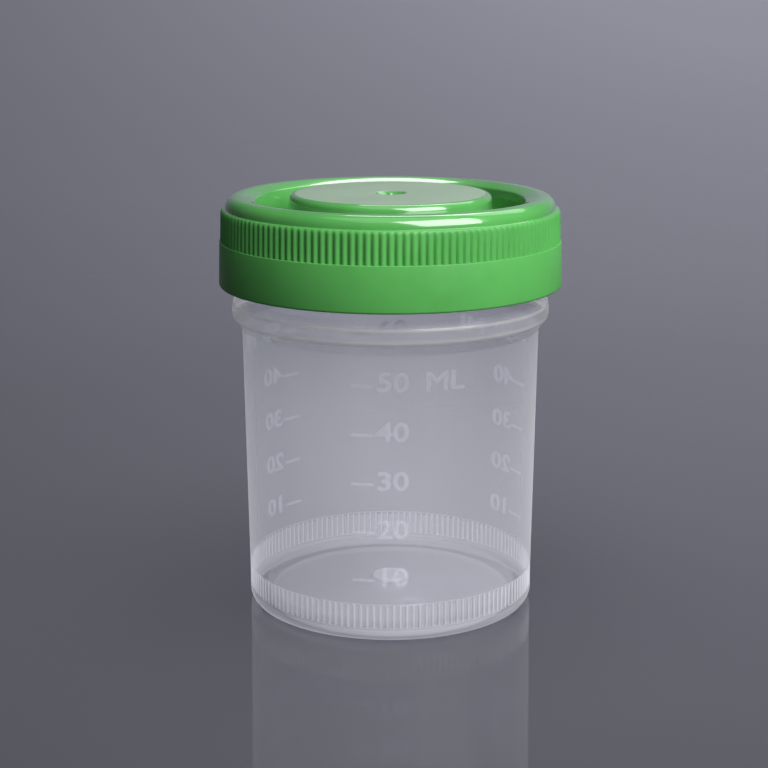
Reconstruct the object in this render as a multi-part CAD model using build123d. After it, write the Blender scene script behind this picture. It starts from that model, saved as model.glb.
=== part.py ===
"""Specimen container: a graduated, translucent jar with a coloured screw lid.

Both pieces are one-piece injection mouldings. The jar has a fluted band round its heel, a foot ring, a
rounded collar below the neck and a plain rim. The lid has a band of grip ribs, a rounded crown, and a thin
plate folded down into an annular channel, whose outer wall plugs the jar's mouth and whose inner wall
carries a raised centre disc. The threads are left off: the neck and the lid's bore are modelled at
their root radii, with the thread's room between them.

Millimetres, +Z up along the axis of both pieces. The origin is at the centre of the foot.
"""

import os
from math import cos, pi, radians, sin, tan

from build123d import *

# ---- Jar: outside ----
rim_height = 61.2  # the jar's full height
base_radius = 21.9  # heel and fluted band, which stand straight up
heel_rounding = 1.8
wall_flare = 0.52  # how much wider the wall is below the collar than at the heel
neck_height = 13.35  # from the collar's shoulder to the rim
neck_step = 0.03  # the neck, at the root of its thread, outside the wall's widest part
collar_overhang = 1.4  # collar outside the neck
collar_band_height = 2.95
collar_cone_height = 1.85  # from the wall out to the collar
collar_rounding = 1.35

# ---- Jar: inside and foot ----
wall_thickness = 1.18  # at the floor
neck_thickness = 1.2
floor_thickness = 1.4
floor_bevel = 0.7  # inside corner, between wall and floor
foot_recess = 1.05  # the floor's underside above the table
foot_ring_width = 1.5
gate_pad_radius = 2.9  # low pad inside, over the point that the moulding was filled through
gate_pad_height = 0.5
gate_nub_radius = 0.7  # stub left by the filling, under the floor
gate_nub_height = 0.5

# ---- Jar: fluted band at the heel ----
flute_count = 142
flute_start = 0.6  # foot of the flutes above the heel's rounding
flute_height = 3.55
flute_depth = 0.3
flute_rib_width = 0.36  # the rib between two flutes
flute_margin = 0.3  # plain stretch between the flutes and the leaning wall
rib_inset = 0.04  # how far the ribs lie under the heel's own surface
flute_bed_depth = 0.12  # solid backing of the band, below the valleys of its flutes

# ---- Lid: outside ----
skirt_clearance = 1.65  # open height between the collar and the skirt
skirt_thickness = 1.7  # at the skirt's foot
skirt_draft = 0.2  # how much narrower the skirt is at the ledge
ledge_drop = 5.0  # ledge below the rim that the lid seats on
ledge_width = 0.2  # from the skirt in to the rib crests
grip_height = 4.8
crown_setback = 0.28  # from the valleys between the ribs in to the crown
crown_rise = 1.6  # crown above the rim
crown_rounding = 1.5
crown_slope_width = 2.15  # stretch of the crown that falls towards the channel
crown_fall = 0.7  # how far it has fallen at the channel's edge

# ---- Lid: grip ribs ----
grip_count = 148
grip_depth = 0.45
grip_crest_width = 0.42

# ---- Lid: channel, centre disc and underside ----
plug_clearance = 0.12  # radial, between the plug and the jar's bore
plug_thickness = 1.08  # at the rim
plug_lead = 0.25  # how much the plug narrows at its tip
channel_depth = 6.0
channel_width = 4.9
channel_draft = 0.25  # how much each channel wall leans in by its floor
disc_rise = 0.2  # centre disc above the crown
disc_rounding = 0.95
dimple_radius = 2.45
dimple_floor_radius = 1.5
dimple_depth = 0.55
nub_radius = 0.45
nub_height = 0.5  # above the dimple's floor
plate_thickness = 1.25  # channel floor, disc and their walls
thread_depth = 1.15  # height of the jar's thread above its root
thread_clearance = 0.45  # radial, between the jar's thread and the lid's bore

# ---- Fineness ----
rounding_flats = 3  # flats that stand for each rounded edge

# ---- Worked out: jar ----
body_radius = base_radius + wall_flare
neck_root_radius = body_radius + neck_step
collar_radius = neck_root_radius + collar_overhang
collar_top = rim_height - neck_height
collar_band_bottom = collar_top - collar_band_height
body_height = collar_band_bottom - collar_cone_height
mouth_radius = neck_root_radius - neck_thickness
floor_radius = base_radius - wall_thickness
floor_height = foot_recess + floor_thickness
foot_ring_inner_radius = base_radius - heel_rounding - foot_ring_width
flute_bottom = heel_rounding + flute_start
flute_top = flute_bottom + flute_height
flute_bed_radius = base_radius - rib_inset - flute_depth - flute_bed_depth
band_height = flute_top + flute_margin

# ---- Worked out: lid ----
lid_bore_radius = neck_root_radius + thread_depth + thread_clearance
skirt_bottom_radius = lid_bore_radius + skirt_thickness
skirt_top_radius = skirt_bottom_radius - skirt_draft
grip_radius = skirt_top_radius - ledge_width
crown_radius = grip_radius - grip_depth - crown_setback
channel_radius = mouth_radius - plug_clearance - plug_thickness
crown_peak_radius = channel_radius + crown_slope_width
disc_radius = channel_radius - channel_width
skirt_bottom = collar_top + skirt_clearance
ledge_height = rim_height - ledge_drop
grip_top = ledge_height + grip_height
crown_height = rim_height + crown_rise
disc_height = crown_height + disc_rise
channel_floor = crown_height - channel_depth
plug_tip = channel_floor - plate_thickness


def bore_radius_at(height):
    """The jar's inside radius, which opens evenly from the floor to the rim."""
    share = (height - floor_height) / (rim_height - floor_height)
    return floor_radius + (mouth_radius - floor_radius) * share


def eased(before, corner, after, rounding):
    """Points of the flats that round one corner of a half-section."""
    here = Vector(*corner)
    back = (Vector(*before) - here).normalized()
    ahead = (Vector(*after) - here).normalized()
    half_angle = radians(back.get_angle(ahead)) / 2
    centre = here + (back + ahead).normalized() * (rounding / sin(half_angle))
    start = here + back * (rounding / tan(half_angle)) - centre
    sweep = pi - 2 * half_angle
    side = 1 if back.cross(ahead).Z < 0 else -1
    steps = [side * sweep * index / rounding_flats for index in range(rounding_flats + 1)]
    return [
        (centre.X + start.X * cos(a) - start.Y * sin(a), centre.Y + start.X * sin(a) + start.Y * cos(a))
        for a in steps
    ]


def turned(corners):
    """Revolves a closed half-section. Each corner is (radius, height, rounding).

    Leaning sides are straight Bezier edges, because the face that one sweeps meshes far lighter than a cone.
    """
    outline = []
    for index, (radius, height, rounding) in enumerate(corners):
        before = corners[index - 1][:2]
        after = corners[(index + 1) % len(corners)][:2]
        flats = eased(before, (radius, height), after, rounding) if rounding else [(radius, height)]
        outline.extend(flats)
    with BuildPart() as solid:
        with BuildSketch(Plane.XZ):
            with BuildLine():
                for start, end in zip(outline, outline[1:] + outline[:1]):
                    if start[0] == end[0] or start[1] == end[1]:
                        Line(start, end)
                    else:
                        Bezier(start, end)
            make_face()
        revolve(axis=Axis.Z)
    return solid.part


def toothed_ring(count, crest_radius, crest_width, valley_depth, inner_radius, bottom, top):
    """An upright ring whose outside is narrow flat crests with a V valley between each two."""
    step = 2 * pi / count
    half_crest = crest_width / 2 / crest_radius
    outline = []
    for index in range(count):
        middle = index * step
        spots = [
            (crest_radius, middle - half_crest),
            (crest_radius, middle + half_crest),
            (crest_radius - valley_depth, middle + step / 2),
        ]
        outline.extend((radius * cos(angle), radius * sin(angle)) for radius, angle in spots)
    with BuildPart() as ring:
        with BuildSketch(Plane.XY.offset(bottom)):
            with BuildLine():
                Polyline(outline, close=True)
            make_face()
            Circle(inner_radius, mode=Mode.SUBTRACT)
        extrude(amount=top - bottom)
    return ring.part


def jar_blank():
    """The jar as a plain turned form: foot, heel, wall, collar, neck and bore."""
    return turned(
        [
            (0, foot_recess, 0),
            (foot_ring_inner_radius, foot_recess, 0),
            (foot_ring_inner_radius, 0, 0),
            (base_radius, 0, heel_rounding),
            (base_radius, flute_bottom, 0),
            (flute_bed_radius, flute_bottom, 0),
            (flute_bed_radius, flute_top, 0),
            (base_radius, flute_top, 0),
            (base_radius, band_height, 0),
            (body_radius, body_height, 0),
            (collar_radius, collar_band_bottom, 0),
            (collar_radius, collar_top, collar_rounding),
            (neck_root_radius, collar_top, 0),
            (neck_root_radius, rim_height, 0),
            (mouth_radius, rim_height, 0),
            (bore_radius_at(floor_height + floor_bevel), floor_height + floor_bevel, 0),
            (floor_radius - floor_bevel, floor_height, 0),
            (0, floor_height, 0),
        ]
    )


def fluted_band():
    """The ring of shallow flutes and narrow ribs that fills the bed turned into the heel."""
    return toothed_ring(
        flute_count,
        crest_radius=base_radius - rib_inset,
        crest_width=flute_rib_width,
        valley_depth=flute_depth,
        inner_radius=(flute_bed_radius + floor_radius) / 2,
        bottom=flute_bottom,
        top=flute_top,
    )


def gate_marks():
    """What filling the mould leaves in the middle of the floor: a low pad inside and a stub below."""
    pad = Plane.XY.offset(floor_height) * Circle(gate_pad_radius)
    stub = Plane.XY.offset(foot_recess) * Circle(gate_nub_radius)
    return [extrude(pad, gate_pad_height), extrude(stub, -gate_nub_height)]


def jar():
    return jar_blank() + fluted_band() + gate_marks()


def lid_blank():
    """The lid as a plain turned form, folded from skirt to crown, channel and centre disc."""
    recess_radius = disc_radius - plate_thickness
    nub_top = disc_height - dimple_depth + nub_height
    return turned(
        [
            (lid_bore_radius, skirt_bottom, 0),
            (skirt_bottom_radius, skirt_bottom, 0),
            (skirt_top_radius, ledge_height, 0),
            (crown_radius, ledge_height, 0),
            (crown_radius, crown_height, crown_rounding),
            (crown_peak_radius, crown_height, 0),
            (channel_radius, crown_height - crown_fall, 0),
            (channel_radius - channel_draft, channel_floor, 0),
            (disc_radius + channel_draft, channel_floor, 0),
            (disc_radius, disc_height, disc_rounding),
            (dimple_radius, disc_height, 0),
            (dimple_floor_radius, disc_height - dimple_depth, 0),
            (nub_radius, disc_height - dimple_depth, 0),
            (nub_radius, nub_top, 0),
            (0, nub_top, 0),
            (0, disc_height - plate_thickness, 0),
            (recess_radius, disc_height - plate_thickness, 0),
            (recess_radius + channel_draft, plug_tip, 0),
            (bore_radius_at(plug_tip) - plug_clearance - plug_lead, plug_tip, 0),
            (mouth_radius - plug_clearance, rim_height, 0),
            (lid_bore_radius, rim_height, 0),
        ]
    )


def grip_ribs():
    """The ring of grip ribs between the ledge and the foot of the crown."""
    return toothed_ring(
        grip_count,
        crest_radius=grip_radius,
        crest_width=grip_crest_width,
        valley_depth=grip_depth,
        inner_radius=(lid_bore_radius + crown_radius) / 2,
        bottom=ledge_height,
        top=grip_top,
    )


def lid():
    return lid_blank() + grip_ribs()


os.makedirs("parts", exist_ok=True)
for name, shape in {"jar": jar(), "lid": lid()}.items():
    export_step(shape, f"parts/{name}.step")
    print(name, "volume", round(shape.volume), "mm3")
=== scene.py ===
# %% [markdown]
# # A specimen container
#
# The object is two plastic mouldings: a translucent graduated jar and a green screw lid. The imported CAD
# model gives their places and sizes, with flats in place of round edges and no threads. This lesson makes
# both again as fine turned meshes of the same form, and gives them their finish, scale and light.

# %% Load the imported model
from math import cos, pi, radians, sin, tan

import bmesh
import bpy
from mathutils import Matrix, Vector


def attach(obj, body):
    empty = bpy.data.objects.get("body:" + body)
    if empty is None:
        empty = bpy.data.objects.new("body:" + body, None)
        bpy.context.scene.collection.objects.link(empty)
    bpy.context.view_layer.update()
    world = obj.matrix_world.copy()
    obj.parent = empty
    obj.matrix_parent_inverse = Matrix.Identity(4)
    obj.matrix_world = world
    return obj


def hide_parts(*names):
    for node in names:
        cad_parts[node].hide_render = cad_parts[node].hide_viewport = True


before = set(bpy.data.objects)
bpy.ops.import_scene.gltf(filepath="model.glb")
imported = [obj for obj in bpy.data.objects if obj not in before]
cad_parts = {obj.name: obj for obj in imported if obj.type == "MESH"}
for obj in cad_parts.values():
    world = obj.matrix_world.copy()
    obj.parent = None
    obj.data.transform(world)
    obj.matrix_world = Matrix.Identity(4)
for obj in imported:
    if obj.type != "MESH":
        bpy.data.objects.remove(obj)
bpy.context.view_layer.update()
mm = 0.001

# %% [markdown]
# ## The camera
#
# The camera looks down on the lid by about fourteen degrees, from a hand's length away in front. A camera
# this near shows the top of the object and its foot from different angles, which is why the foot's curve
# looks rounder than the lid's. Its distance and tilt are real sizes, so they are plain named values.

# %% The camera
camera_distance = 249.5 * mm  # in front of the axis
camera_height = 94.15 * mm
camera_pitch = radians(13.636)
picture_side = 768  # pixels
focal_pixels = 1675.6
axis_column = 390.4  # the picture column that the object's axis falls on
sensor_side = 36.0

camera = bpy.data.objects.new("camera", bpy.data.cameras.new("camera"))
camera.location = (0, -camera_distance, camera_height)
camera.rotation_euler = (pi / 2 - camera_pitch, 0, 0)
camera.data.sensor_width = sensor_side
camera.data.lens = focal_pixels / picture_side * sensor_side
camera.data.shift_x = (picture_side / 2 - axis_column) / picture_side
camera.data.clip_start = 0.01
bpy.context.scene.collection.objects.link(camera)
bpy.context.scene.camera = camera
print("lens, mm:", round(camera.data.lens, 1))

# %% [markdown]
# ## Wires: node trees written as sums
#
# Both shaders and Geometry Nodes are trees of small nodes. Adding each node by hand buries the idea, so
# one class wraps an output socket. A sum with a wire adds the Math node it needs, and `node` adds any
# other kind: its settings go in first, then the values or wires of its inputs.


# %% A wire
class Wire:
    """An output socket of a node tree. Arithmetic with it adds Math nodes to the tree."""

    def __init__(self, tree, socket=None):
        self.tree = tree
        self.socket = socket

    def node(self, kind, settings=None, inputs=None, output=0):
        """Adds a node and returns one of its outputs as a wire."""
        made = self.tree.nodes.new(kind)
        for name, value in (settings or {}).items():
            setattr(made, name, value)
        for name, value in (inputs or {}).items():
            if isinstance(value, Wire):
                self.tree.links.new(value.socket, made.inputs[name])
            else:
                made.inputs[name].default_value = value
        return Wire(self.tree, made.outputs[output] if made.outputs else None)

    def other(self, output):
        """Another output of the node that this wire leaves."""
        return Wire(self.tree, self.socket.node.outputs[output])

    def math(self, operation, *values):
        return self.node("ShaderNodeMath", {"operation": operation}, dict(enumerate((self, *values))))

    def ramp(self, low, high, kind="SMOOTHSTEP"):
        """Rises from 0 at low to 1 at high, and stays level outside them."""
        ends = {"Value": self, "From Min": low, "From Max": high}
        return self.node("ShaderNodeMapRange", {"interpolation_type": kind}, ends)

    def __add__(self, other):
        return self.math("ADD", other)

    def __mul__(self, other):
        return self.math("MULTIPLY", other)

    def __sub__(self, other):
        return self.math("SUBTRACT", other)

    def __truediv__(self, other):
        return self.math("DIVIDE", other)

    def __rsub__(self, other):
        return (self * -1.0) + other

    __radd__ = __add__


print("wires ready")

# %% [markdown]
# ## The half-section of a turned piece
#
# A jar or a lid is a flat outline turned round an axis. The outline is written as corners, each with its
# radius, height and rounding, and `rounded` lays an arc at each corner. A row of the outline is
# (radius, height, groove, thread): groove is how deep the valleys between ribs are at that row, and
# thread is 1 where a screw thread may rise from it.


# %% Rounded corners and ribbed bands
arc_spacing = 0.3  # about how far apart the rows of a rounding lie
fewest_steps = 3  # in one rounding
most_steps = 8


def rounded(corners, thread=0):
    """Rows along an open path of (radius, height, rounding) corners, with an arc at each rounded one."""
    rows = []
    for index, (radius, height, rounding) in enumerate(corners):
        here = Vector((radius, height))
        if not rounding:
            rows.append((radius, height, 0, thread))
            continue
        back = (Vector(corners[index - 1][:2]) - here).normalized()
        ahead = (Vector(corners[index + 1][:2]) - here).normalized()
        half = back.angle(ahead) / 2
        centre = here + (back + ahead).normalized() * (rounding / sin(half))
        start = here + back * (rounding / tan(half)) - centre
        end = here + ahead * (rounding / tan(half)) - centre
        sweep = pi - 2 * half
        steps = min(most_steps, max(fewest_steps, round(sweep * rounding / arc_spacing)))
        for step in range(steps + 1):
            share = step / steps
            spot = centre + (start * sin((1 - share) * sweep) + end * sin(share * sweep)) / sin(sweep)
            rows.append((spot.x, spot.y, 0, thread))
    return rows


def ribbed(bottom, top, crest, depth, ease, steps=4):
    """Rows of a ribbed band whose valleys scoop in over the height `ease` at each end."""
    bends = [pi / 2 * step / steps for step in range(steps + 1)]
    scoop = [(ease * (1 - cos(bend)), sin(bend)) for bend in bends]
    lower = [(crest, bottom + rise, depth * share, 0) for rise, share in scoop]
    upper = [(crest, top - rise, depth * share, 0) for rise, share in reversed(scoop)]
    return lower + upper


def threaded(radius, start, end, spacing):
    """Level rows close enough together to carry a screw thread, from one height to another."""
    count = round(abs(end - start) / spacing)
    return [(radius, start + (end - start) * row / count, 0, 1) for row in range(count + 1)]


sample = rounded([(0, 0, 0), (5, 0, 1.5), (5, 5, 0)])
print("rows of one right angle rounded by 1.5 mm:", len(sample) - 2)

# %% [markdown]
# ## One rule for both mouldings
#
# The jar and the lid follow the same rule, so one Geometry Nodes tree makes both. A grid has a row for each
# row of the outline and a column for each step round the axis. Every point reads its radius and height
# from the outline, sinks by the rib pattern, rises by the thread, and is turned to its place. Bending one
# grid keeps each piece a single skin, as a moulding is.


# %% The turned moulding as a node tree
thread_laps = 3  # turns that the thread may reach into
thread_fade = 0.08  # part of a turn over which it rises, and sinks away again
weld_distance = 1e-6
crease_angle = radians(38)  # sharper edges than this stay sharp in the shading


def new_tree(name, inputs):
    """A Geometry Nodes group with a geometry input, named inputs and a geometry output."""
    tree = bpy.data.node_groups.new(name, "GeometryNodeTree")
    tree.interface.new_socket("Geometry", in_out="INPUT", socket_type="NodeSocketGeometry")
    for label, kind in inputs.items():
        tree.interface.new_socket(label, in_out="INPUT", socket_type=kind)
    tree.interface.new_socket("Geometry", in_out="OUTPUT", socket_type="NodeSocketGeometry")
    return tree, Wire(tree).node("NodeGroupInput")


def turned_tree():
    number, whole = "NodeSocketFloat", "NodeSocketInt"
    tree, given = new_tree(
        "turned_moulding",
        {
            "Steps Around": whole,
            "Rib Count": whole,
            "Rib Edge": number,
            "Valley Edge": number,
            "Thread Height": number,
            "Thread Bottom": number,
            "Thread Pitch": number,
            "Thread Turns": number,
            "Thread Base": number,
            "Thread Crest": number,
            "Material": "NodeSocketMaterial",
        },
    )
    steps = given.other("Steps Around")
    row_count = given.node(
        "GeometryNodeAttributeDomainSize", {"component": "MESH"}, {"Geometry": given.other("Geometry")}
    )
    grid = given.node("GeometryNodeMeshGrid", None, {"Vertices X": row_count, "Vertices Y": steps + 1})
    index = given.node("GeometryNodeInputIndex")
    row = ((index + 0.5) / (steps + 1)).math("FLOOR")
    column = index - row * (steps + 1)
    turn = ((column + 0.5) / steps).math("FRACT")

    def at_row(label, data_type):
        """The value that the outline holds at this point's row."""
        if label == "position":
            value = given.node("GeometryNodeInputPosition")
        else:
            value = given.node(
                "GeometryNodeInputNamedAttribute", {"data_type": data_type}, {"Name": label}
            )
        return given.node(
            "GeometryNodeSampleIndex",
            {"data_type": data_type, "domain": "POINT"},
            {"Geometry": given.other("Geometry"), "Value": value, "Index": row},
        )

    spot = given.node("ShaderNodeSeparateXYZ", None, {"Vector": at_row("position", "FLOAT_VECTOR")})
    height = spot.other("Z")
    phase = (turn * given.other("Rib Count")).math("FRACT")
    from_crest = 1 - (phase - 0.5).math("ABSOLUTE") * 2.0
    valley = from_crest.ramp(given.other("Rib Edge"), given.other("Valley Edge"))
    ribbed_radius = spot - at_row("groove", "FLOAT") * valley

    ridges = []
    half_crest = given.other("Thread Crest") / 2.0
    half_base = given.other("Thread Base") / 2.0
    turns = given.other("Thread Turns")
    for lap in range(thread_laps):
        along = turn + float(lap)
        middle = given.other("Thread Bottom") + given.other("Thread Pitch") * along
        off = (height - middle).math("ABSOLUTE")
        fade_in = along.ramp(0.0, thread_fade)
        fade_out = 1 - along.ramp(turns - thread_fade, turns)
        ridges.append((1 - off.ramp(half_crest, half_base, "LINEAR")) * fade_in * fade_out)
    ridge = ridges[0]
    for lap_ridge in ridges[1:]:
        ridge = ridge.math("MAXIMUM", lap_ridge)
    radius = ribbed_radius + at_row("thread", "FLOAT") * ridge * given.other("Thread Height")

    angle = turn * (2 * pi)
    place = given.node(
        "ShaderNodeCombineXYZ",
        None,
        {"X": radius * angle.math("COSINE"), "Y": radius * angle.math("SINE"), "Z": height},
    )
    bent = given.node("GeometryNodeSetPosition", None, {"Geometry": grid, "Position": place})
    joined = given.node(
        "GeometryNodeMergeByDistance", None, {"Geometry": bent, "Distance": weld_distance}
    )
    smooth = given.node(
        "GeometryNodeSetShadeSmooth", {"domain": "FACE"}, {"Geometry": joined, "Shade Smooth": True}
    )
    sharp = given.node("GeometryNodeInputMeshEdgeAngle").math("GREATER_THAN", crease_angle)
    creased = given.node(
        "GeometryNodeSetShadeSmooth",
        {"domain": "EDGE"},
        {"Geometry": smooth, "Selection": sharp, "Shade Smooth": False},
    )
    solid = given.node("GeometryNodeRealizeInstances", None, {"Geometry": creased})
    finished = given.node(
        "GeometryNodeSetMaterial", None, {"Geometry": solid, "Material": given.other("Material")}
    )
    given.node("NodeGroupOutput", None, {"Geometry": finished})
    return tree


turned_moulding = turned_tree()
print("nodes in the turned moulding:", len(turned_moulding.nodes))

# %% [markdown]
# ## Running a tree
#
# A tree works through a modifier. Its inputs are set by each socket's identifier, because the names are
# only labels. The result is then copied to a plain mesh, which is what the frame and the exporter want.


# %% From outline and tree to plain mesh
def grow(name, tree, values, start_mesh=None):
    """Runs a node tree on a start mesh and returns an object that holds the plain result."""
    seed = bpy.data.objects.new(name + "_seed", start_mesh or bpy.data.meshes.new(name + "_seed"))
    bpy.context.scene.collection.objects.link(seed)
    modifier = seed.modifiers.new("grow", "NODES")
    modifier.node_group = tree
    for item in tree.interface.items_tree:
        if item.item_type == "SOCKET" and item.in_out == "INPUT" and item.name in values:
            modifier[item.identifier] = values[item.name]
    depsgraph = bpy.context.evaluated_depsgraph_get()
    mesh = bpy.data.meshes.new_from_object(seed.evaluated_get(depsgraph), depsgraph=depsgraph)
    mesh.name = name
    bpy.data.objects.remove(seed)
    grown = bpy.data.objects.new(name, mesh)
    bpy.context.scene.collection.objects.link(grown)
    triangles = sum(len(face.vertices) - 2 for face in mesh.polygons)
    print(name, "triangles:", triangles)
    return grown


def outline_mesh(name, rows):
    """A string of edges through the rows, in the XZ plane, with groove and thread stored on its points."""
    mesh = bpy.data.meshes.new(name)
    spots = [(radius * mm, 0, height * mm) for radius, height, _, _ in rows]
    mesh.from_pydata(spots, [(index, index + 1) for index in range(len(rows) - 1)], [])
    groove = mesh.attributes.new("groove", "FLOAT", "POINT")
    groove.data.foreach_set("value", [depth * mm for _, _, depth, _ in rows])
    thread = mesh.attributes.new("thread", "FLOAT", "POINT")
    thread.data.foreach_set("value", [share for _, _, _, share in rows])
    return mesh


print("sockets of the turned moulding:", [item.name for item in turned_moulding.interface.items_tree])

# %% [markdown]
# ## Finishes
#
# The jar is natural polypropylene: crystals in it scatter light, so a thin wall looks milky and still
# shows what is behind it. A solid with a cloudy filling would be the exact way, but it is slow and grainy.
# Here each skin of the wall lets part of the light straight through and spreads the rest, by a Transparent
# shader mixed with a milky one. The share that is spread is the haze. Nearly all of it is on the outside
# skin, because an inside skin with much haze of its own would draw a second outline within the wall.


# %% A new material
def new_material(name):
    """An empty material with its output node, and a wire to build on."""
    material = bpy.data.materials.new(name)
    material.use_nodes = True
    material.node_tree.nodes.clear()
    return material, Wire(material.node_tree)


def object_place(wire):
    """Object coordinates as one vector, the height and the distance from the axis."""
    place = wire.node("ShaderNodeTexCoord", output="Object")
    x = wire.node("ShaderNodeSeparateXYZ", None, {"Vector": place})
    y = x.other("Y")
    return place, x.other("Z"), (x * x + y * y).math("SQRT")


print("shader wires ready")

# %% Milky polypropylene
milk_colour = (0.77, 0.768, 0.785, 1)
clear_colour = (0.97, 0.975, 1.0, 1)
glow_share = 0.65  # of the spread light, the part that comes through from behind
streak_scale = (90, 90, 22)  # the melt flowed up the wall, so its streaks are long in height
grain_scale = 900.0
grain_depth = 0.05 * mm
skin_roughness = 0.2
roughness_spread = 0.1
haze_spread = 0.06


def milky(name, haze_of):
    """Milky plastic. `haze_of` takes the wire, the height and the radius, and gives the haze."""
    material, wire = new_material(name)
    place, height, radius = object_place(wire)
    streaks = wire.node("ShaderNodeMapping", None, {"Vector": place, "Scale": streak_scale})
    flow = wire.node(
        "ShaderNodeTexNoise", None, {"Vector": streaks, "Scale": 1.0, "Detail": 2.0}, output="Fac"
    )
    grain = wire.node(
        "ShaderNodeTexNoise", None, {"Vector": place, "Scale": grain_scale, "Detail": 2.0}, output="Fac"
    )
    bump = wire.node(
        "ShaderNodeBump", None, {"Strength": 0.1, "Distance": grain_depth, "Height": grain}, output="Normal"
    )
    skin = wire.node(
        "ShaderNodeBsdfPrincipled",
        None,
        {
            "Base Color": milk_colour,
            "Roughness": (flow - 0.5) * roughness_spread + skin_roughness,
            "IOR": 1.49,
            "Coat Weight": 0.5,
            "Coat Roughness": 0.1,
            "Normal": bump,
        },
    )
    glow = wire.node("ShaderNodeBsdfTranslucent", None, {"Color": milk_colour})
    milk = wire.node("ShaderNodeMixShader", None, {0: glow_share, 1: skin, 2: glow})
    clear = wire.node("ShaderNodeBsdfTransparent", None, {"Color": clear_colour})
    haze = haze_of(height, radius) + (flow - 0.5) * haze_spread
    mixed = wire.node("ShaderNodeMixShader", None, {0: haze, 1: clear, 2: milk})
    wire.node("ShaderNodeOutputMaterial", None, {"Surface": mixed})
    return material


print("colour of the milk:", milk_colour[:3])

# %% [markdown]
# The jar's haze follows the plastic that the eye looks through. The fluted band, the heel and the floor are
# thicker than the wall, the crests of the ribs are the thickest spots of all, and the neck is thinner. A
# wall seen edge-on is looked through for longer, so Layer Weight adds haze where the skin turns away. Each
# of these places has a mask, a wire that is 1 there and 0 elsewhere, and the numbers in it are millimetres.
# Two more masks add haze for light lines. The line round the collar's shoulder is partly a thick edge and
# partly a painted highlight, and the band at the collar's foot is a painted highlight. The scale and the
# mark under the floor are pieces of their own, and get materials of their own.

# %% The jar's materials
inside_haze = 0.03
wall_haze = 0.25
heel_haze = 0.16  # more than the wall's, as are the next seven
sole_haze = 0.45
band_haze = 0.13
crest_haze = 0.15
collar_haze = 0.08
edge_haze = 0.4
# partly a thick edge, partly a painted highlight: a light line round the collar's shoulder
thick_edge_and_highlight_haze = 0.55
# painted highlight: extra haze that draws a light band at the collar's foot
collar_foot_highlight_haze = 0.3
floor_haze = 0.36  # more than the inside skin's, as is the next
pad_haze = 0.45
scale_haze = 0.25
mark_haze = 0.85  # the triangle, which has no light behind it
neck_haze = 0.15  # less than the wall's
wall_lean = 0.009  # gain of the wall's middle radius with height
edge_power = 4.0  # how closely the haze of a wall seen edge-on keeps to the outline


def rising(wire, low, high):
    """A mask that is 0 below the first of two measures and 1 above the second."""
    return wire.ramp(low * mm, high * mm)


def falling(wire, low, high):
    return 1 - rising(wire, low, high)


def jar_haze(height, radius):
    outside = rising(radius - height * wall_lean, 21.15, 21.45)
    heel = falling(height, 2.0, 2.4)
    sole = falling(height, 0.1, 0.9)
    band = rising(height, 2.2, 2.5) * falling(height, 5.8, 6.3)
    crest = band * rising(radius, 21.72, 21.84)
    collar = rising(radius, 23.3, 23.7)
    neck = rising(height, 47.5, 47.9)
    # the light line round the collar's shoulder, partly a thick edge and partly a painted highlight
    thick_edge_and_highlight = collar * rising(height, 46.55, 46.75) * falling(height, 46.95, 47.15)
    # painted highlight band at the collar's foot
    corner = collar * rising(height, 44.2, 44.8) * falling(height, 45.1, 45.7)
    facing = height.node("ShaderNodeLayerWeight", None, {"Blend": 0.5}, output="Facing")
    thick = heel * heel_haze + sole * sole_haze + band * band_haze + crest * crest_haze
    thick = thick + collar * collar_haze + thick_edge_and_highlight * thick_edge_and_highlight_haze + facing.math("POWER", edge_power) * edge_haze
    thick = thick + corner * collar_foot_highlight_haze - neck * neck_haze
    floor = (1 - outside) * falling(height, 3.0, 3.6) * falling(radius, 19.0, 19.8)
    pad = floor * falling(radius, 2.7, 2.9)
    inside = floor * floor_haze + pad * pad_haze + inside_haze
    return outside * (thick + (wall_haze - inside_haze)) + inside


milky_polypropylene = milky("milky_polypropylene", jar_haze)
raised_polypropylene = milky("raised_polypropylene", lambda height, radius: scale_haze)
marked_polypropylene = milky("marked_polypropylene", lambda height, radius: mark_haze)
print("haze of the wall and of the scale on it:", wall_haze, scale_haze)

# %% [markdown]
# The lid is one green plastic with three finishes, because the mould's steel was not equally smooth all
# over. The skirt and the ribs are dull, the crown and the channel are polished, and the centre disc was
# spark-eroded to a fine satin. Masks from the height and the distance to the axis pick them out, so one
# material carries all three. A slow noise darkens the green a little where the plastic flowed last. The
# disc's colour is paler and greyer than the green, partly for its fine grain and partly as a painted sheen.

# %% Green plastic
green_colour = (0.08, 0.335, 0.075, 1)
shade_colour = (0.066, 0.29, 0.063, 1)  # where the plastic flowed last
# the disc's colour, paler and greyer than the green partly for its fine grain, partly as a painted sheen
satin_and_sheen_colour = (0.21, 0.29, 0.215, 1)
mottled_satin_and_sheen_colour = (0.19, 0.265, 0.195, 1)
satin_radius = 14.25
satin_height = 62.93
cloud_scale = 110.0
satin_grain_scale = 2600.0


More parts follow.
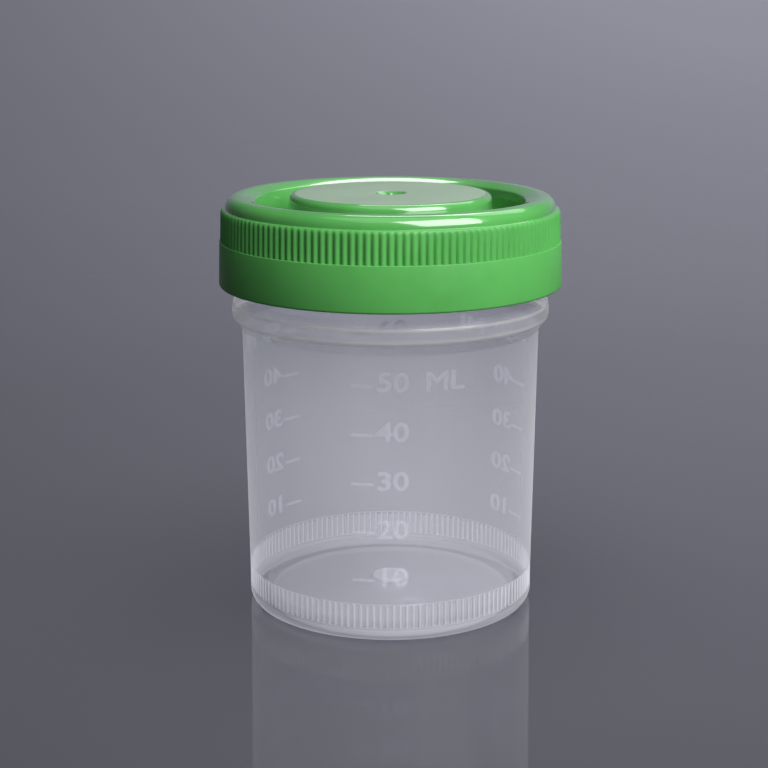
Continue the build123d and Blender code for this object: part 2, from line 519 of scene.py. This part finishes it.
def lid_plastic():
    material, wire = new_material("green_plastic")
    place, height, radius = object_place(wire)
    cloud = wire.node(
        "ShaderNodeTexNoise", None, {"Vector": place, "Scale": cloud_scale, "Detail": 3.0}, output="Fac"
    )
    grain = wire.node(
        "ShaderNodeTexNoise",
        None,
        {"Vector": place, "Scale": satin_grain_scale, "Detail": 1.0},
        output="Fac",
    )
    inside_edge = falling(radius, satin_radius - 0.1, satin_radius)
    on_disc = inside_edge * rising(height, satin_height - 0.05, satin_height)
    flow = cloud.ramp(0.4, 0.75)
    green = wire.node(
        "ShaderNodeMix", {"data_type": "RGBA"}, {0: flow, 6: green_colour, 7: shade_colour}, output=2
    )
    # the disc's colour, with its painted sheen, mottled by the same slow noise
    satin = wire.node(
        "ShaderNodeMix", {"data_type": "RGBA"}, {0: flow, 6: satin_and_sheen_colour, 7: mottled_satin_and_sheen_colour}, output=2
    )
    colour = wire.node("ShaderNodeMix", {"data_type": "RGBA"}, {0: on_disc, 6: green, 7: satin}, output=2)
    bump = wire.node(
        "ShaderNodeBump",
        None,
        {"Strength": 0.25, "Distance": 0.03 * mm, "Height": grain * on_disc + cloud * 0.3},
        output="Normal",
    )
    polished = wire.node(
        "ShaderNodeBsdfPrincipled",
        None,
        {
            "Base Color": colour,
            "Roughness": on_disc * 0.4 + (cloud - 0.5) * 0.1 + 0.2,
            "IOR": 1.49,
            "Coat Weight": 1 - on_disc,
            "Coat Roughness": 0.03,
            "Normal": bump,
        },
    )
    dull = wire.node(
        "ShaderNodeBsdfPrincipled",
        None,
        {"Base Color": colour, "Roughness": (cloud - 0.5) * 0.2 + 0.4, "IOR": 1.3, "Normal": bump},
    )
    on_crown = rising(height, 60.7, 61.0)
    skin = wire.node("ShaderNodeMixShader", None, {0: on_crown, 1: dull, 2: polished})
    wire.node("ShaderNodeOutputMaterial", None, {"Surface": skin})
    return material


green_plastic = lid_plastic()
print("satin disc radius, mm:", satin_radius)

# %% [markdown]
# ## The jar
#
# The jar's outline runs from the underside of the floor, round the foot ring and up the outside, over the
# rim and down the inside to the low pad at the filling point. The 142 flutes are valleys cut in a band of
# rows, and its thread rises from the rows of the neck.

# %% Sizes of the jar
foot_recess = 1.05
floor_height = 2.45
foot_ring_inner = 18.6
base_radius = 21.9
band_height = 6.25
body_radius = 22.42
body_height = 43.05
collar_radius = 23.85
collar_bottom = 44.9
collar_top = 47.85
neck_radius = 22.45
rim_height = 61.2
mouth_radius = 21.25
floor_radius = 20.72
gate_pad_radius = 2.9
gate_pad_height = 0.5
gate_pad_lean = 0.2
flute_count = 142
flute_bottom = 2.4
flute_top = 5.95
flute_depth = 0.3
flute_scoop = 0.35  # height over which a flute deepens at each end
flute_rib_inset = 0.02
flute_step_below = 0.15  # height of the slope between heel and flutes, and above them
flute_step_above = 0.12
neck_rows_bottom = 51.1  # the rows that may carry the thread
neck_rows_top = 60.2
neck_margin = 0.3
thread_rise = 1.15
thread_pitch = 4.23
thread_turns = 1.3
thread_foot = 52.4  # height of its centre line where it starts
thread_base = 2.0  # its width at the root, and at the crest
thread_crest = 0.7
thread_row_spacing = 0.35
steps_per_rib = 6  # round the axis, for the flutes and for the lid's ribs
print("jar height and width, mm:", rim_height, 2 * collar_radius)

# %% The jar
jar_rows = (
    rounded(
        [
            (0, foot_recess, 0),
            (foot_ring_inner, foot_recess, 0.35),
            (foot_ring_inner, 0, 0.3),
            (base_radius, 0, 1.8),
            (base_radius, flute_bottom - flute_step_below, 0),
        ]
    )
    + ribbed(flute_bottom, flute_top, base_radius - flute_rib_inset, flute_depth, flute_scoop)
    + rounded(
        [
            (base_radius, flute_top + flute_step_above, 0),
            (base_radius, band_height, 0),
            (body_radius, body_height, 0.5),
            (collar_radius, collar_bottom, 0.5),
            (collar_radius, collar_top, 1.35),
            (neck_radius, collar_top, 0.25),
            (neck_radius, neck_rows_bottom - neck_margin, 0),
        ]
    )
    + threaded(neck_radius, neck_rows_bottom, neck_rows_top, thread_row_spacing)
    + rounded(
        [
            (neck_radius, neck_rows_top + neck_margin, 0),
            (neck_radius, rim_height, 0.35),
            (mouth_radius, rim_height, 0.35),
            (floor_radius, floor_height, 0.9),
            (gate_pad_radius, floor_height, 0.2),
            (gate_pad_radius - gate_pad_lean, floor_height + gate_pad_height, 0.2),
            (0, floor_height + gate_pad_height, 0),
        ]
    )
)
jar = grow(
    "jar_moulding",
    turned_moulding,
    {
        "Steps Around": flute_count * steps_per_rib,
        "Rib Count": flute_count,
        "Rib Edge": 0.2,
        "Valley Edge": 0.55,
        "Thread Height": thread_rise * mm,
        "Thread Bottom": thread_foot * mm,
        "Thread Pitch": thread_pitch * mm,
        "Thread Turns": thread_turns,
        "Thread Base": thread_base * mm,
        "Thread Crest": thread_crest * mm,
        "Material": milky_polypropylene,
    },
    outline_mesh("jar_outline", jar_rows),
)
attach(jar, "jar")
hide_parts("jar")

# %% [markdown]
# ## The lid
#
# The lid's outline starts under the centre disc, goes down round the plug that closes the jar's mouth, up
# into the thread's bore and out under the skirt. Outside it climbs the skirt, the ledge, the 148 grip ribs
# and the crown, and drops into the channel before it rises to the disc and its dimple. The ribs end in a
# quarter round at the top, in which their crests lean in until they meet the floor of the valleys.

# %% Sizes of the lid
skirt_bottom = 49.5
bore_radius = 24.05
skirt_radius = 25.75
ledge_radius = 25.55
ledge_height = 56.2
rib_foot_radius = 25.42
rib_top_radius = 25.3
rib_floor_radius = 25.1
grip_top = 61.0
grip_rounding = 0.7
crown_radius = 24.62
crown_height = 62.8
crown_rounding = 1.72
crown_peak = 22.2
crown_fall = 0.7
channel_radius = 20.05
channel_floor = 56.8
channel_draft = 0.25
disc_radius = 15.15
disc_height = 63.0
plate = 1.25
plug_tip = channel_floor - plate
plug_tip_radius = 20.7
plug_clearance = 0.12
bore_top = 60.8
bore_rows_top = 60.5  # the rows that may carry the thread
bore_rows_bottom = 51.2
bore_bottom = 50.8
bore_row_spacing = 0.6
grip_count = 148
rib_end = 0.5  # height of the first and last stretch of a rib
rib_gap = 0.02  # between the ledge's own corner and the foot of the ribs
shoulder_steps = 5  # in the quarter round at the top of the ribs
dimple_radius = 2.45
dimple_floor_radius = 1.6
dimple_depth = 0.55
nub_foot_radius = 0.55
nub_radius = 0.45
nub_drop = 0.05  # its top, below the disc
print("lid height and width, mm:", disc_height - skirt_bottom, 2 * skirt_radius)

# %% The lid
grip_shoulder = grip_top - grip_rounding
rib_rows = []
rib_heights = (ledge_height + rib_gap, ledge_height + rib_end, grip_shoulder - rib_end, grip_shoulder)
for height in rib_heights:
    share = (height - ledge_height) / (grip_shoulder - ledge_height)
    crest = rib_foot_radius + (rib_top_radius - rib_foot_radius) * share
    rib_rows.append((crest, height, crest - rib_floor_radius, 0))
for step in range(1, shoulder_steps + 1):
    bend = pi / 2 * step / shoulder_steps
    crest = rib_top_radius - grip_rounding * (1 - cos(bend))
    height = grip_shoulder + grip_rounding * sin(bend)
    rib_rows.append((crest, height, max(crest - rib_floor_radius, 0), 0))

lid_rows = (
    rounded(
        [
            (0, disc_height - plate, 0),
            (disc_radius - plate, disc_height - plate, 0.8),
            (disc_radius - plate + channel_draft, plug_tip, 0.35),
            (plug_tip_radius, plug_tip, 0.35),
            (mouth_radius - plug_clearance, rim_height, 0.3),
            (bore_radius, rim_height, 0.3),
            (bore_radius, bore_top, 0),
        ]
    )
    + threaded(bore_radius, bore_rows_top, bore_rows_bottom, bore_row_spacing)
    + rounded(
        [
            (bore_radius, bore_bottom, 0),
            (bore_radius, skirt_bottom, 0.3),
            (skirt_radius, skirt_bottom, 0.35),
            (ledge_radius, ledge_height, 0.12),
            (rib_foot_radius - rib_gap, ledge_height, 0),
        ]
    )
    + rib_rows
    + rounded(
        [
            (crown_radius, grip_top, 0),
            (crown_radius, crown_height, crown_rounding),
            (crown_peak, crown_height, 1.2),
            (channel_radius, crown_height - crown_fall, 0.4),
            (channel_radius - channel_draft, channel_floor, 0.5),
            (disc_radius + channel_draft, channel_floor, 0.5),
            (disc_radius, disc_height, 0.95),
            (dimple_radius, disc_height, 0.12),
            (dimple_floor_radius, disc_height - dimple_depth, 0.3),
            (nub_foot_radius, disc_height - dimple_depth, 0.08),
            (nub_radius, disc_height - nub_drop, 0.25),
            (0, disc_height - nub_drop, 0),
        ]
    )
)
lid = grow(
    "lid_moulding",
    turned_moulding,
    {
        "Steps Around": grip_count * steps_per_rib,
        "Rib Count": grip_count,
        "Rib Edge": 0.25,
        "Valley Edge": 0.95,
        "Thread Height": -thread_rise * mm,
        "Thread Bottom": (thread_foot + thread_pitch / 2) * mm,
        "Thread Pitch": thread_pitch * mm,
        "Thread Turns": thread_turns,
        "Thread Base": thread_base * mm,
        "Thread Crest": thread_crest * mm,
        "Material": green_plastic,
    },
    outline_mesh("lid_outline", lid_rows),
)
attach(lid, "lid")
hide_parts("lid")

# %% [markdown]
# ## The moulded scale
#
# Marks and bold numbers stand up from the wall by a sixth of a millimetre, three times round the jar.
# Numbers are easiest to make as flat text: the text object thickens its strokes, raises them and softens
# their edges. The flat result is a plain mesh, and a small node tree then wraps it round the wall, where x
# becomes an angle and y a height. The marks are 10 mL apart, which for this bore is 7.23 mm.

# %% Sizes of the scale
first_mark_height = 9.76
mark_spacing = 7.23
mark_step = 10  # mL
wall_marks = (10, 20, 30, 40, 50)
neck_mark = 60  # it lies behind the collar, where the outside has no room, so it is inside
tick_start = -14.2  # degrees round the wall from the front
tick_end = -6.4
number_start = -5.2
unit_start = 12.3
number_height = 2.85
number_drop = 0.8  # foot of the numbers below the middle of their tick
number_stretch = 1.2  # widening of the font's letters
tick_width = 0.3
mark_rise = 0.17
mark_root = 0.05  # how deep it is sunk in the wall
mark_bevel = 0.1  # it rounds the edges, and thickens each stroke by as much on both sides
scale_turns = (0.0, 124.6, 237.0)  # degrees
capital_share = 0.729  # height of a number beside the font's size
middle_bore = (floor_radius + mouth_radius) / 2
print("volume between two marks, mm3:", round(pi * middle_bore**2 * mark_spacing))


# %% A flat mark
def raise_flat(curve):
    """Gives a flat curve or text its height and soft edges, and returns it as a plain mesh."""
    curve.extrude = (mark_rise + mark_root) / 2 - mark_bevel
    curve.bevel_depth = mark_bevel
    curve.bevel_resolution = 2
    drawn = bpy.data.objects.new("drawing", curve)
    bpy.context.scene.collection.objects.link(drawn)
    depsgraph = bpy.context.evaluated_depsgraph_get()
    mesh = bpy.data.meshes.new_from_object(drawn.evaluated_get(depsgraph), depsgraph=depsgraph)
    bpy.data.objects.remove(drawn)
    return mesh


def words(text):
    curve = bpy.data.curves.new(text, "FONT")
    curve.body = text
    curve.size = number_height / capital_share
    curve.resolution_u = 3
    mesh = raise_flat(curve)
    mesh.transform(Matrix.Diagonal((number_stretch, 1, 1, 1)))
    return mesh


def tick(length, pieces=8):
    """A level bar, cut in pieces along its length so that it can bend."""
    lower = [(length * step / pieces, -tick_width / 2) for step in range(pieces + 1)]
    upper = [(x, -y) for x, y in reversed(lower)]
    curve = bpy.data.curves.new("tick", "CURVE")
    curve.dimensions = "2D"
    curve.fill_mode = "BOTH"
    spline = curve.splines.new("POLY")
    spline.points.add(len(lower + upper) - 1)
    for point, (x, y) in zip(spline.points, lower + upper):
        point.co = (x, y, 0, 1)
    spline.use_cyclic_u = True
    return raise_flat(curve)


middle_radius = (base_radius + body_radius) / 2
arc_per_degree = radians(1) * middle_radius


def flat_scale(values, unit_value):
    """Marks of the scale laid flat, in metres. The value `unit_value` also gets the unit beside it."""
    gathered = bmesh.new()
    for value in values:
        height = first_mark_height + mark_spacing * (value - wall_marks[0]) / mark_step
        parts = [
            (tick((tick_end - tick_start) * arc_per_degree), tick_start, height),
            (words(str(value)), number_start, height - number_drop),
        ]
        if value == unit_value:
            parts.append((words("ML"), unit_start, height - number_drop))
        for mesh, start, foot in parts:
            lift = (mark_rise - mark_root) / 2
            mesh.transform(Matrix.Translation((start * arc_per_degree, foot, lift)))
            mesh.transform(Matrix.Scale(mm, 4))
            gathered.from_mesh(mesh)
    bmesh.ops.remove_doubles(gathered, verts=gathered.verts, dist=0.001 * mm)
    flat = bpy.data.meshes.new("flat_scale")
    gathered.to_mesh(flat)
    gathered.free()
    return flat


print("arc of one degree at the wall, mm:", round(arc_per_degree, 3))


# %% Wrapping the flat marks round the wall
def wrapping_tree():
    number = "NodeSocketFloat"
    tree, given = new_tree(
        "wrapped_marks",
        {
            "Foot Radius": number,
            "Lean": number,
            "Outwards": number,
            "Turned Inwards": "NodeSocketBool",
            "Material": "NodeSocketMaterial",
        },
    )
    flat = given.node(
        "ShaderNodeSeparateXYZ", None, {"Vector": given.node("GeometryNodeInputPosition")}
    )
    height = flat.other("Y")
    radius = given.other("Foot Radius") + height * given.other("Lean")
    radius = radius + flat.other("Z") * given.other("Outwards")
    angle = flat / (middle_radius * mm) - pi / 2
    around = given.node(
        "ShaderNodeCombineXYZ",
        None,
        {"X": radius * angle.math("COSINE"), "Y": radius * angle.math("SINE"), "Z": height},
    )
    wrapped = given.node(
        "GeometryNodeSetPosition", None, {"Geometry": given.other("Geometry"), "Position": around}
    )
    facing = given.node(
        "GeometryNodeFlipFaces", None, {"Mesh": wrapped, "Selection": given.other("Turned Inwards")}
    )
    all_round = given.node("GeometryNodeJoinGeometry")
    for turn in scale_turns:
        copy = given.node(
            "GeometryNodeTransform", None, {"Geometry": facing, "Rotation": (0, 0, radians(turn))}
        )
        tree.links.new(copy.socket, all_round.socket.node.inputs[0])
    real = given.node("GeometryNodeRealizeInstances", None, {"Geometry": all_round})
    finished = given.node(
        "GeometryNodeSetMaterial", None, {"Geometry": real, "Material": given.other("Material")}
    )
    given.node("NodeGroupOutput", None, {"Geometry": finished})
    return tree


wrapped_marks = wrapping_tree()
print("copies of the scale round the jar:", len(scale_turns))

# %% The scale on the wall, and the top mark inside the neck
wall_gain = (body_radius - base_radius) / (body_height - band_height)
bore_gain = (mouth_radius - floor_radius) / (rim_height - floor_height)
scale = grow(
    "jar_scale",
    wrapped_marks,
    {
        "Foot Radius": (base_radius - wall_gain * band_height) * mm,
        "Lean": wall_gain,
        "Outwards": 1.0,
        "Turned Inwards": False,
        "Material": raised_polypropylene,
    },
    flat_scale(wall_marks, wall_marks[-1]),
)
top_mark = grow(
    "jar_top_mark",
    wrapped_marks,
    {
        "Foot Radius": (floor_radius - bore_gain * floor_height) * mm,
        "Lean": bore_gain,
        "Outwards": -1.0,
        "Turned Inwards": True,
        "Material": raised_polypropylene,
    },
    flat_scale([neck_mark], None),
)
for piece in (scale, top_mark):
    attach(piece, "jar")

# %% [markdown]
# ## The mark under the floor
#
# A plain triangle is moulded under the floor. It is a closed curve with short arcs at its corners and a
# round bevel, made a mesh.

# %% The triangle
triangle_middle = (3.1, -8.0)
triangle_turn = radians(16)
triangle_reach = 2.5  # from its middle to each corner
triangle_rounding = 0.6
triangle_cord = 0.26  # radius of the cord
arc_half_steps = 3  # in half a corner's arc
arc_step = radians(20)


def rounded_triangle():
    """The triangle's line as points, with a short arc at each corner."""
    points = []
    for corner in range(3):
        aim = triangle_turn + pi / 2 + corner * 2 * pi / 3
        inset = triangle_reach - 2 * triangle_rounding
        for step in range(-arc_half_steps, arc_half_steps + 1):
            bend = aim + step * arc_step
            x = triangle_middle[0] + inset * cos(aim) + triangle_rounding * cos(bend)
            y = triangle_middle[1] + inset * sin(aim) + triangle_rounding * sin(bend)
            points.append((x * mm, y * mm, foot_recess * mm))
    return points


def floor_triangle():
    curve = bpy.data.curves.new("triangle", "CURVE")
    curve.dimensions = "3D"
    spline = curve.splines.new("POLY")
    line = rounded_triangle()
    spline.points.add(len(line) - 1)
    for point, spot in zip(spline.points, line):
        point.co = (*spot, 1)
    spline.use_cyclic_u = True
    curve.bevel_depth = triangle_cord * mm
    curve.bevel_resolution = 3
    drawn = bpy.data.objects.new("triangle", curve)
    bpy.context.scene.collection.objects.link(drawn)
    depsgraph = bpy.context.evaluated_depsgraph_get()
    mesh = bpy.data.meshes.new_from_object(drawn.evaluated_get(depsgraph), depsgraph=depsgraph)
    bpy.data.objects.remove(drawn)
    return mesh


triangle_mesh = floor_triangle()
triangle_mesh.shade_smooth()
triangle_mesh.materials.append(marked_polypropylene)
triangle = bpy.data.objects.new("jar_floor_triangle", triangle_mesh)
bpy.context.scene.collection.objects.link(triangle)
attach(triangle, "jar")
print("triangle faces:", len(triangle_mesh.polygons))

# %% [markdown]
# ## Floor, backdrop and light
#
# A plain pale sheet lies under the object and curves up behind it, so that no edge shows. It is glossy, as
# coated card is, so it mirrors the jar faintly. Its colour is painted lighter towards the back and the
# right, a painted fall of light. A large soft lamp in front on the right models the ribs, and one overhead
# lights the crown. Two small ones behind draw the sheen on the satin disc and the light line round the
# crown.
#
# Light linking then does what a studio does with black card. The lamps that gloss may show are kept off
# the sheet, which would mirror them as white patches, and two lamps of its own light it. The low lamps
# that make the jar glow are kept off the lid, so that its left side falls into shade, and one low lamp
# behind shines on the lid alone.

# %% The sheet
sheet_width = 4.0
sheet_front = -1.5
sheet_back = 2.2
sheet_bend = 1.9
sheet_top = 2.4
sheet_bend_steps = 32
# painted fall of light: the sheet's colour runs from darker at the front left to lighter at the back right
painted_shade_near_colour = (0.088, 0.088, 0.104, 1)
painted_light_far_colour = (0.195, 0.195, 0.234, 1)
near_end = -0.25  # along y, and along x by as much
far_end = 0.95


def sheet_line():
    """The sheet from the front edge to its top, as (y, z) points."""
    line = [(sheet_front, 0.0), (sheet_back - sheet_bend, 0.0)]
    for step in range(1, sheet_bend_steps + 1):
        bend = pi / 2 * step / sheet_bend_steps
        line.append((sheet_back - sheet_bend + sheet_bend * sin(bend), sheet_bend * (1 - cos(bend))))
    return line + [(sheet_back, sheet_top)]


def sheet_finish():
    material, wire = new_material("pale_sheet")
    place = wire.node("ShaderNodeTexCoord", output="Object")
    x = wire.node("ShaderNodeSeparateXYZ", None, {"Vector": place})
    soft = wire.node("ShaderNodeTexNoise", None, {"Vector": place, "Scale": 3.0}, output="Fac")
    # painted fall of light, lighter towards the back and the right
    depth = (x.other("Y") + x).ramp(near_end, far_end, "LINEAR")
    colour = wire.node(
        "ShaderNodeMix", {"data_type": "RGBA"}, {0: depth, 6: painted_shade_near_colour, 7: painted_light_far_colour}, output=2
    )
    skin = wire.node(
        "ShaderNodeBsdfPrincipled",
        None,
        {"Base Color": colour, "Roughness": (soft - 0.5) * 0.02 + 0.04, "IOR": 1.7},
    )
    wire.node("ShaderNodeOutputMaterial", None, {"Surface": skin})
    return material


line = sheet_line()
corners = [(side * sheet_width / 2, y, z) for y, z in line for side in (-1, 1)]
faces = [(2 * n, 2 * n + 1, 2 * n + 3, 2 * n + 2) for n in range(len(line) - 1)]
sheet_mesh = bpy.data.meshes.new("sheet")
sheet_mesh.from_pydata(corners, [], faces)
sheet_mesh.shade_smooth()
sheet_mesh.materials.append(sheet_finish())
sheet = bpy.data.objects.new("sheet", sheet_mesh)
bpy.context.scene.collection.objects.link(sheet)
print("sheet points:", len(corners))


# %% The lamps
object_middle = Vector((0, 0, 0.035))


def lamp(name, place, target, width, height, power):
    """A rectangular lamp at a place, facing a target, with its sides in metres and its power in watts."""
    light = bpy.data.lights.new(name, "AREA")
    light.shape = "RECTANGLE"
    light.size = width
    light.size_y = height
    light.energy = power
    made = bpy.data.objects.new(name, light)
    made.location = place
    made.visible_camera = False
    made.rotation_euler = (place - target).to_track_quat("Z", "Y").to_euler()
    bpy.context.scene.collection.objects.link(made)
    return made


def around_object(azimuth, elevation, distance):
    """A place round the object. Azimuth 0 is in front, and grows towards +X. Angles are in degrees."""
    side, rise = radians(azimuth), radians(elevation)
    away = Vector((sin(side) * cos(rise), -cos(side) * cos(rise), sin(rise)))
    return object_middle + away * distance


def shine_on(light, state, pieces):
    """INCLUDE lets a lamp light only these pieces, and EXCLUDE lets it light all but these."""
    group = bpy.data.collections.new(light.name + "_pieces")
    for piece in pieces:
        group.objects.link(piece)
    for entry in group.collection_objects:
        entry.light_linking.link_state = state
    light.light_linking.receiver_collection = group


key_place = around_object(43, 40, 0.85)
seen_in_gloss = [
    lamp("key", key_place, object_middle, 0.7, 0.8, 15.0),
    lamp("top", around_object(10, 78, 1.0), object_middle, 0.9, 0.9, 2.1),
    lamp("back", around_object(173, 48, 0.9), object_middle, 0.35, 0.15, 0.8),
    lamp("rim", around_object(140, 48, 0.9), object_middle, 0.5, 0.4, 0.9),
]
for light in seen_in_gloss:
    shine_on(light, "EXCLUDE", [sheet])

key_on_sheet = lamp("key_on_sheet", around_object(20, 80, 0.9), object_middle, 1.2, 1.2, 11.5)
shine_on(key_on_sheet, "INCLUDE", [sheet])
glow = [
    lamp("fill", around_object(-62, 12, 1.0), object_middle, 0.4, 0.3, 2.8),
    lamp("glow_left", around_object(-150, 22, 0.9), object_middle, 0.6, 0.4, 8.0),
    lamp("glow_right", around_object(140, 9, 0.8), object_middle, 0.5, 0.26, 2.5),
]
for light in glow:
    shine_on(light, "INCLUDE", [jar, scale, top_mark, triangle])

rear = lamp("rear", around_object(188, 4, 0.9), object_middle, 0.6, 0.3, 4.0)
shine_on(rear, "INCLUDE", [lid])
backdrop = lamp("backdrop", Vector((0.5, 0.6, 1.1)), Vector((0.2, 1.8, 0.75)), 0.6, 0.6, 23.0)
shine_on(backdrop, "INCLUDE", [sheet])
for light in [key_on_sheet, backdrop, rear, *glow]:
    light.visible_glossy = False

world = bpy.data.worlds.new("studio")
bpy.context.scene.world = world
world.use_nodes = True
room = world.node_tree.nodes["Background"]
room.inputs["Color"].default_value = (0.85, 0.87, 0.95, 1)
room.inputs["Strength"].default_value = 0.08
bpy.context.scene.view_settings.view_transform = "Standard"
